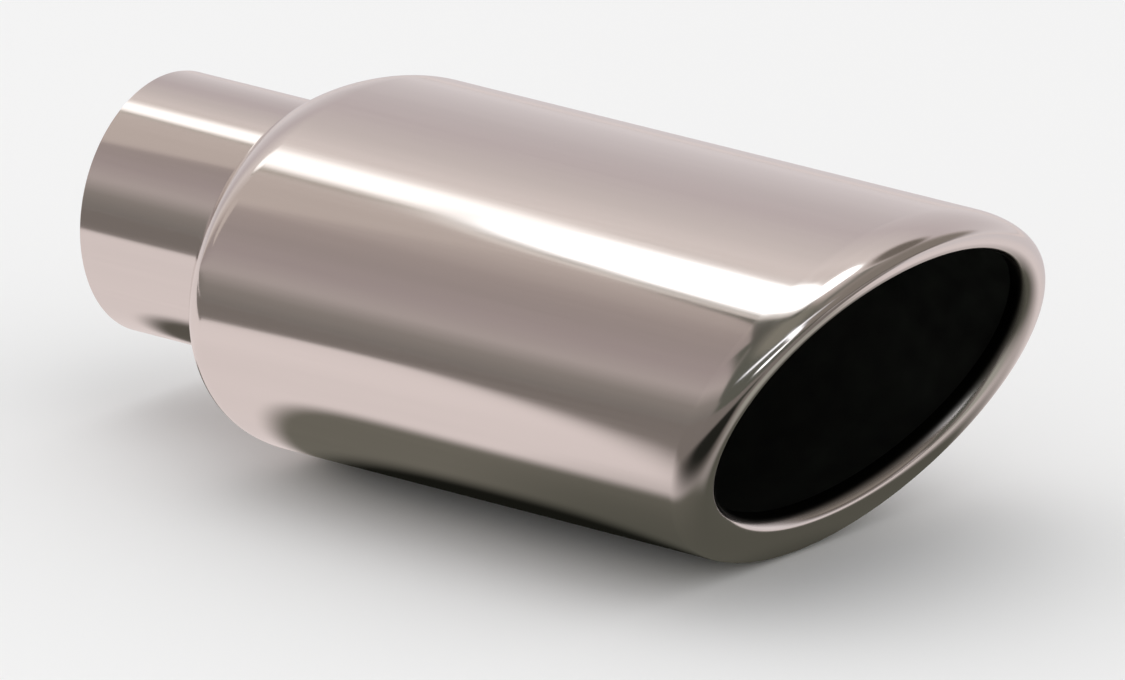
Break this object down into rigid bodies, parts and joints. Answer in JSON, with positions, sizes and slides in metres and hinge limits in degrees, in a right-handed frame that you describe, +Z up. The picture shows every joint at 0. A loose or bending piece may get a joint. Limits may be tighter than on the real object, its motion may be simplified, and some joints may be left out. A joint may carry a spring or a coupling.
{
  "type": "exhaust tip",
  "caption": "Slash-cut exhaust tip: a polished oval tube with a rolled lip, stepping down over a domed shoulder to a round inlet tube that slips over a tailpipe.",
  "frame": {"origin": "centre of the inlet end of the round bore", "axes": "+X along the bore and the gas path towards the outlet, +Z up with the top of the slanted mouth foremost, +Y across"},
  "size_m": [0.2286, 0.1202, 0.0852],
  "materials": {
    "polished_steel": "mirror-polished stainless steel",
    "weld_metal": "as-welded stainless steel, lightly heat-tinted"
  },
  "bodies": {
    "root": {"outer_shell": "polished_steel", "inlet_tube": "polished_steel", "weld_bead": "weld_metal"}
  },
  "joints": []
}
